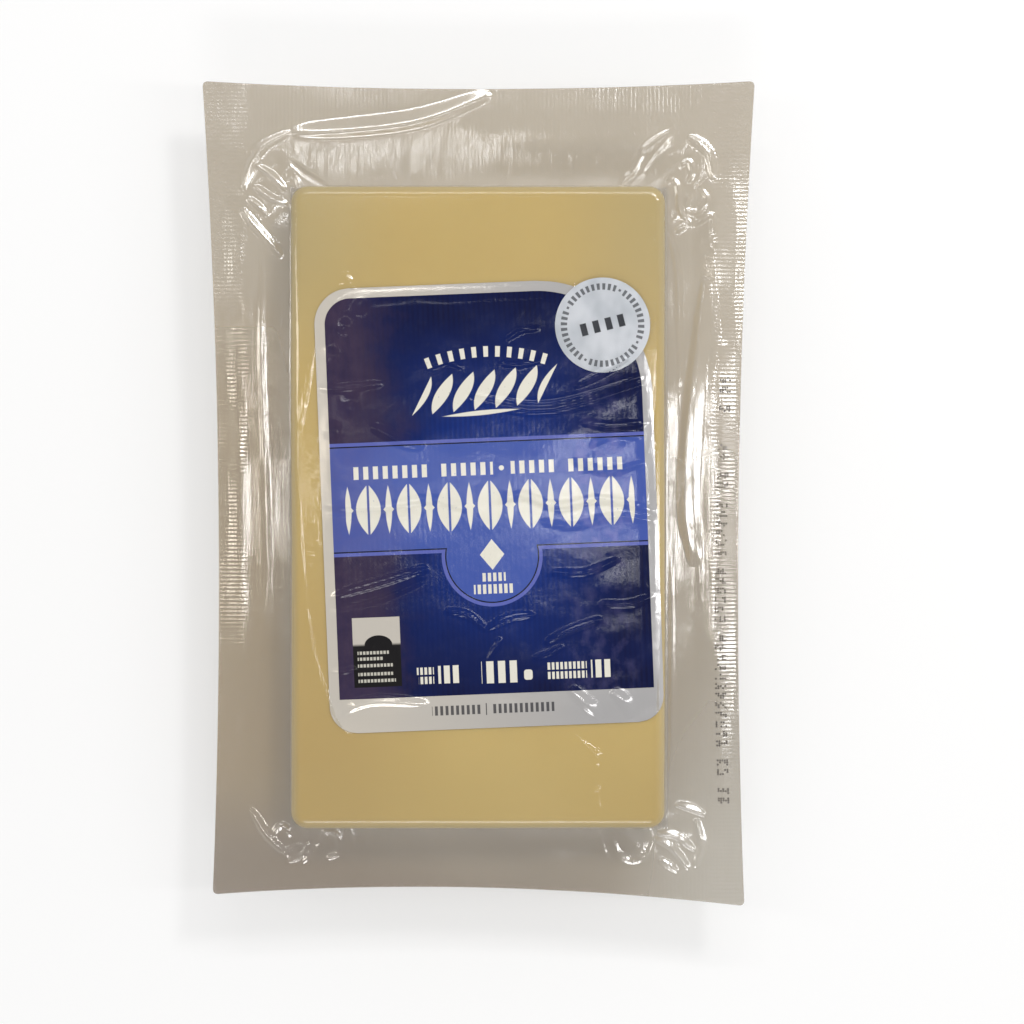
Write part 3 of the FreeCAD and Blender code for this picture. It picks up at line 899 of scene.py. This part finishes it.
NAVY = (0.007, 0.031, 0.215)
NAVY_DEEP = (0.005, 0.007, 0.042)
BLUE = (0.056, 0.096, 0.385)
BLUE_PALE = (0.115, 0.14, 0.46)
CREAM = (0.8, 0.77, 0.67)
INK = (0.01, 0.01, 0.012)
BORDER = 2.4  # width of the silver border
STRIP = 8  # and of the silver strip at the foot

WORDS = [
    # rows of ticks: start and end of each word, middle, height, pitch and weight
    ([(-32.2, -13.8), (-11.6, 1.2), (5.4, 16), (18, 32.6)], 8.7, 3, 2.3, 0.52),
    ([(-2.6, 3.2)], -16.9, 2, 1.25, 0.62),
    ([(-4.4, 5)], -19.7, 2.2, 1.25, 0.62),
    ([(-18.6, -14.6), (12, 21.4)], -38.4, 1.7, 1, 0.62),
    ([(-18.2, -14.6), (12, 21.4)], -40.6, 1.7, 1, 0.62),
    ([(-13.6, -8.6), (22.4, 27.2)], -39.4, 4.2, 2.1, 0.66),
    ([(-3.4, 5.2)], -39.3, 5.2, 2.75, 0.62),
]
# the row on the foot strip in the same form, then the middle and end of the seal's five rows
STRIP_WORDS = ([(-15.4, -4), (-1.2, 13.4)], -47.9, 2.2, 1.25, 0.55)
SEAL_LINES = [(-33.6, -25), (-35, -26.4), (-36.6, -24.2), (-38.6, -24.2), (-40.2, -23.6)]


def label_places(tree):
    """Places on the label in millimetres from its middle, read from its UV map."""
    node = tree.nodes.new("ShaderNodeUVMap")
    node.uv_map = LABEL_UV
    split = tree.nodes.new("ShaderNodeSeparateXYZ")
    tree.links.new(node.outputs[0], split.inputs[0])
    return [Field(tree, split.outputs[i]).times_add(100, -50) for i in (0, 1)]


def box_field(u, v, middle, half, radius=0):
    """Signed distance to a rounded box, negative inside."""
    over_u = (u - middle[0]).abs() - (half[0] - radius)
    over_v = (v - middle[1]).abs() - (half[1] - radius)
    outside = over_u.max(0).hypot(over_v.max(0))
    return outside + over_u.max(over_v).min(0) - radius


def inside(distance, soft=0.1):
    """1 where a signed distance is negative, 0 where it is positive."""
    return distance.ramp(soft / 2, -soft / 2)


def ticks(u, v, words, middle_v, height, pitch, weight):
    """A row of upright ticks in word-like groups, each word a start and an end."""
    tick = (u.repeat(pitch).abs() - pitch * weight / 2).max((v - middle_v).abs() - height / 2)
    kept = None
    for start, end in words:
        word = (u - (start + end) / 2).abs() - (end - start) / 2
        kept = word if kept is None else kept.min(word)
    return inside(tick.max(kept))


def leaf(across, along, half_width, half_length):
    """1 inside an upright pointed leaf, 0 outside it."""
    bulge = (along / half_length).math("POWER", 2).times_add(-half_width, half_width)
    return inside(across.abs() - bulge, 0.2)


def title_ornament(u, v):
    """A frieze of seven tall split leaves, with a slim pointed bar between each two."""
    pitch = 9.55
    middle = u - 0.2
    across = (middle + pitch / 2).repeat(pitch)
    ribs = inside(across.abs() - 0.28, 0.15)
    leaves = leaf(across, v, 2.9, 6.1) - ribs
    bars = leaf(middle.repeat(pitch), v, 0.75, 5.6)
    knots = inside((middle.repeat(pitch).abs() * 1.2 + v.abs()) - 1.5, 0.2)
    return leaves.max(0).max(bars).max(knots) * inside(middle.abs() - pitch * 3.5 - 0.6)


def swash(u, v):
    """Six slanted leaves in a row that rises to the right, over a slim stroke."""
    up = v - u * 0.06 - 27.2
    across = (u - up * 0.55 + 2.5).repeat(5)
    heavy = leaf(across, up, 1.75, 4.5)
    under = leaf(v - u * 0.06 - 21.9, u + 1, 0.55, 9)
    return (heavy * inside((u - up * 0.55).abs() - 14.9)).max(under)


def arc_of_ticks(u, v):
    """Eleven short ticks on a shallow arc, over the swash."""
    middle_v, radius, half_angle = -7.2, 43.4, 0.352
    across, up = u - 0.6, v - middle_v
    distance = (across.hypot(up) - radius).abs() - 1.25
    angle = across.math("ARCTAN2", up)
    step = 2 * half_angle / 11
    tick = ((angle + half_angle).repeat(step).abs() - 0.2 * step) * radius
    return inside(distance.max(tick).max((angle.abs() - half_angle) * radius))


def word_marks(u, v):
    """The ornaments and ticks that hold the places of the words."""
    dot = (u - 3.2).hypot(v - 8.7) - 0.6
    diamond = (u - 0.2).abs() * 1.25 + (v + 11.6).abs() - 3.6
    knob = box_field(u, v, (7.6, -40.2), (1, 1.2), 0.6)
    marks = title_ornament(u, v).max(swash(u, v)).max(arc_of_ticks(u, v))
    for line in WORDS:
        marks = marks.max(ticks(u, v, *line))
    return marks.max(inside(dot)).max(inside(diamond)).max(inside(knob))


def seal_print(u, v):
    """A small pale seal with a black hill and five rows of ticks: its place and its colour."""
    hill = inside((u + 27.4).hypot((v + 31.9) * 1.4) - 3.3)
    colour = mixed(v.ramp(-31.3, -32.1).max(hill), (0.57, 0.53, 0.47), (0.012, 0.011, 0.012))
    for middle_v, end in SEAL_LINES:
        colour = mixed(ticks(u, v, [(-32.4, end)], middle_v, 0.75, 0.8, 0.7) * 0.7, colour, CREAM)
    return inside(box_field(u, v, (-27.8, -33.5), (5.6, 8.2))), colour


def printed_area(u, v):
    """1 on the printed fields, and 0 on the silver border and strip round them."""
    half = (LABEL_HALF[0] - BORDER, (2 * LABEL_HALF[1] - BORDER - STRIP) / 2)
    middle = (0, (STRIP - BORDER) / 2)
    plain = box_field(u, v, middle, half)
    left = box_field(u, v, middle, half, LABEL_HEAD_RADIUS - BORDER)
    right = box_field(u, v, middle, half, LABEL_SWEEP_RADIUS - BORDER)
    rounded = left + (right - left) * u.above(0)
    return inside(plain + (rounded - plain) * v.above(0))


def label_print():
    """The label's print: a silver border, dark fields, a blue band with a round tab, and ticks."""
    material, tree, shader = new_material("label_print")
    u, v = label_places(tree)
    flat = (u, v, u * 0)
    fibre = grain(flat, (0.5, 0.8, 1), 3)
    cloud = grain(flat, (16, 14, 1), 3)
    mottle = grain(flat, (2.6, 3.4, 1), 4)
    sparkle = grain(flat, (0.9, 1.5, 1), 3)

    # painted reflection: a purple haze towards the left, and a soft sheen in a band on the right
    painted_haze = (u + mottle * 14 + cloud * 22).ramp(2, -14) * (mottle * 0.9 + 0.35).min(1)
    painted_sheen_place = (u - v * 0.05 + mottle * 8).ramp(20, 28) * u.ramp(36, 30)
    painted_sheen = painted_sheen_place * (mottle - 0.45).max(0) * 4

    # dark fields: bluer in the middle, with fine upright ribs
    ribs = u.repeat(LABEL_RIB).abs().ramp(0.12, 0.42)
    centre = (u - 2).abs().ramp(34, 6) * v.abs().ramp(52, 12)
    dark = layered(
        mixed((centre * 0.95 + (cloud - 0.5) * 0.6).max(0), NAVY_DEEP, NAVY),
        (ribs * 0.3, (0.005, 0.013, 0.08)),
        (painted_haze * 0.85, (0.066, 0.043, 0.08)),
        ((painted_sheen * 0.3).min(0.6), (0.09, 0.08, 0.2)),
    )

    # band and tab: one shape, with a pale rim and a black hairline just inside it
    band = box_field(u, v, (0, 2.55), (60, 13.35))
    shape = band.min((u - 0.2).hypot(v + 11.95) - 11.9)
    blue = layered(
        mixed(cloud * 0.5 + fibre * 0.15, BLUE, (0.07, 0.12, 0.42)),
        (painted_haze * 0.55, (0.115, 0.115, 0.3)),
        ((painted_sheen * 0.5).min(0.8), (0.24, 0.24, 0.54)),
        (inside((shape + 0.42).abs() - 0.4), BLUE_PALE),
        (inside((shape + 0.98).abs() - 0.15), INK),
    )

    divider = inside(box_field(u, v, (-2.6, -47.9), (0.12, 1.4)))
    strip_marks = ticks(u, v, *STRIP_WORDS).max(divider)
    # painted reflection: the silver is greyer and darker to the right, warmer and lighter to the left
    silver = layered(
        mixed(u.ramp(30, -36), (0.52, 0.51, 0.52), (0.8, 0.73, 0.63)),
        (cloud * 0.5, (0.62, 0.6, 0.57)),
        (strip_marks * 0.85, (0.045, 0.045, 0.055)),
    )
    border = printed_area(u, v).times_add(-1, 1)
    colour = layered(
        dark,
        (inside(shape), blue),
        (word_marks(u, v) * fibre.ramp(0.15, 0.35), CREAM),
        seal_print(u, v),
        (border, silver),
    )
    roughness = mottle.ramp(0.3, 0.8).times_add(0.06, 0.095)
    settings(shader, Base_Color=colour, Roughness=roughness, Metallic=border * 0.3)
    settings(shader, Specular_IOR_Level=0.3)
    bump(shader, sparkle * 0.12 + mottle * 0.2 + u.rib(LABEL_RIB) * 0.04, 0.12)
    return material


def lobe_print():
    """The silver lobe: a ring of small dashes, and a rising row of four bars."""
    material, tree, shader = new_material("lobe_print")
    u, v = label_places(tree)
    u, v = u - LOBE_MIDDLE[0], v - LOBE_MIDDLE[1]
    fibre = grain((u, v, u * 0), (0.35, 0.4, 1), 3)
    sheen = grain((u, v, u * 0), (7, 9, 1))
    on_ring = (u.hypot(v) - 9.1).abs()
    angle = v.math("ARCTAN2", u)
    step, quarter = 2 * math.pi / 44, math.pi / 2
    dash = (angle.repeat(step).abs() - 0.27 * step) * 9
    words = (angle + 0.5).repeat(quarter).abs().ramp(0.7, 0.66)
    dashes = inside((on_ring - 0.75).max(dash)) * words
    dots = inside((angle + 0.5 + quarter / 2).repeat(quarter).abs() * 9 - 0.28)
    dots = dots * inside(on_ring - 0.28)
    cos, sin = math.cos(math.radians(12)), math.sin(math.radians(12))
    across, up = u * cos + v * sin, v * cos - u * sin
    bars = (across.repeat(3).abs() - 0.75).max(up.abs() - 1.45).max(across.abs() - 6)
    ink = (dashes.max(dots) * 0.8).max(inside(bars, 0.2))
    metal = mixed(sheen.ramp(0.3, 0.7), (0.46, 0.49, 0.53), (0.64, 0.66, 0.7))
    settings(shader, Base_Color=mixed(ink, metal, (0.02, 0.022, 0.03)), Metallic=0.35)
    settings(shader, Roughness=0.34, Coat_Weight=0.4, Coat_Roughness=0.2)
    bump(shader, fibre, 0.04)
    return material


def code_ink():
    """Grey ink, worn thin."""
    material, tree, shader = new_material("code_ink")
    x, y, z = object_places(tree)
    worn = grain((x, y, z), (3, 9, 9))
    colour = mixed(worn, (0.08, 0.07, 0.062), (0.2, 0.175, 0.15))
    settings(shader, Base_Color=colour, Roughness=0.6)
    return material


# ---- Putting the pieces together.

fine_ring = ring(FINE)
coarse_ring = ring(COARSE)
flange_rings, cap_rings = lid_rings(fine_ring)
under_rings, tray_rings = base_rings(coarse_ring)

PIECES = [
    # piece, material, record slot, CAD node that it stands for
    (ring_mesh("lid_flange", flange_rings, True), flange_film("film_flange"), "film", "lid_film"),
    (ring_mesh("lid_cap", cap_rings, True), cap_film("film_cap"), "film", "lid_film"),
    (ring_mesh("base_flange", under_rings, False), flange_film("film_under"), "film", "base_film"),
    (ring_mesh("base_tray", tray_rings, False), cap_film("film_tray"), "film", "base_film"),
    (ring_mesh("cheese", cheese_rings(coarse_ring), True), cheese_material(), "cheese", "cheese_block"),
    (make_label(), label_print(), "label_print", "label"),
    (make_lobe(), lobe_print(), "label_print", "label"),
    (make_code_marks(), code_ink(), "label_print", "lid_film"),
]
for piece, material, slot_name, node_name in PIECES:
    piece.data.materials.append(material)
    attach(piece, "root")
    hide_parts(node_name)

# ---- Stage, lights and camera.

FLOOR_HALF = 3
CAMERA_HEIGHT = 0.633  # above the floor
FIELD_AT_TOP = 0.2412  # width of the view at the block's face
CAMERA_PLACE = (0.00805, -0.00444)
LAMP_AIM = Vector((0, 0, 0.02))


def make_floor():
    """A plain pale floor. Camera, glossy and transmission rays see it brighter, as white."""
    corners = FLOOR_HALF * np.array([(-1, -1, 0), (1, -1, 0), (1, 1, 0), (-1, 1, 0)])
    floor = mesh_object("floor", corners, np.arange(4).reshape(1, 4), merge=False)
    material, tree, shader = new_material("floor_white")
    rays = tree.nodes.new("ShaderNodeLightPath")
    seen = Field(tree, rays.outputs["Is Camera Ray"])
    for kind in ("Is Glossy Ray", "Is Transmission Ray"):
        seen = seen.max(Field(tree, rays.outputs[kind]))
    settings(shader, Base_Color=(0.6, 0.6, 0.6, 1), Roughness=0.9, Specular_IOR_Level=0)
    settings(shader, Emission_Color=(1, 1, 1, 1), Emission_Strength=seen * 0.42)
    floor.data.materials.append(material)


def add_lamp(name, place, size, radiance, colour=(1, 1, 1)):
    """A rectangular lamp of a given radiance that faces the pack; its size is in metres."""
    data = bpy.data.lights.new(name, "AREA")
    data.shape = "RECTANGLE"
    data.size, data.size_y = size
    data.energy = radiance * math.pi * size[0] * size[1]
    data.color = colour
    lamp = bpy.data.objects.new(name, data)
    lamp.location = place
    lamp.rotation_euler = (LAMP_AIM - Vector(place)).to_track_quat("-Z", "Y").to_euler()
    bpy.context.scene.collection.objects.link(lamp)


def make_lights():
    """Narrow bright lamps for the film's streaks, and an even surround that is darker overhead."""
    add_lamp("key", (0.38, 0.5, 0.82), (0.16, 0.16), 31)
    add_lamp("head_strip", (0, 0.62, 0.8), (0.6, 0.06), 11)
    add_lamp("right_strip", (0.62, -0.02, 0.8), (0.06, 0.7), 10)
    add_lamp("left_strip", (-0.6, 0.1, 0.75), (0.06, 0.6), 6, (1, 0.96, 0.88))
    add_lamp("foot_fill", (0, -0.75, 0.85), (0.5, 0.14), 8)
    # ceiling strips: the camera sees each in film that lies nearly flat
    add_lamp("ceiling_middle", (0.056, -0.01, 0.95), (0.018, 0.17), 10)
    add_lamp("ceiling_right", (0.118, 0.05, 0.95), (0.014, 0.2), 24)
    add_lamp("ceiling_left", (-0.143, 0.02, 0.95), (0.008, 0.28), 8, (1, 0.94, 0.84))
    add_lamp("ceiling_head", (-0.075, 0.222, 0.95), (0.1, 0.012), 12)
    world = bpy.data.worlds.new("surround")
    world.use_nodes = True
    tree = world.node_tree
    background = tree.nodes["Background"]
    places = tree.nodes.new("ShaderNodeTexCoord")
    split = tree.nodes.new("ShaderNodeSeparateXYZ")
    tree.links.new(places.outputs["Generated"], split.inputs[0])
    height = Field(tree, split.outputs["Z"])
    strength = height.ramp(0.1, 0.95).times_add(-0.58, 0.8)
    settings(background, Color=(1, 1, 1, 1), Strength=strength)
    bpy.context.scene.world = world


def make_camera():
    """A camera that looks straight down on the pack."""
    data = bpy.data.cameras.new("camera")
    distance = CAMERA_HEIGHT - LID_TOP * MM
    data.sensor_width = 36
    data.lens = data.sensor_width * distance / FIELD_AT_TOP
    camera = bpy.data.objects.new("camera", data)
    camera.location = (*CAMERA_PLACE, CAMERA_HEIGHT)
    bpy.context.scene.collection.objects.link(camera)
    bpy.context.scene.camera = camera


make_floor()
make_lights()
make_camera()
bpy.context.scene.view_settings.view_transform = "Standard"
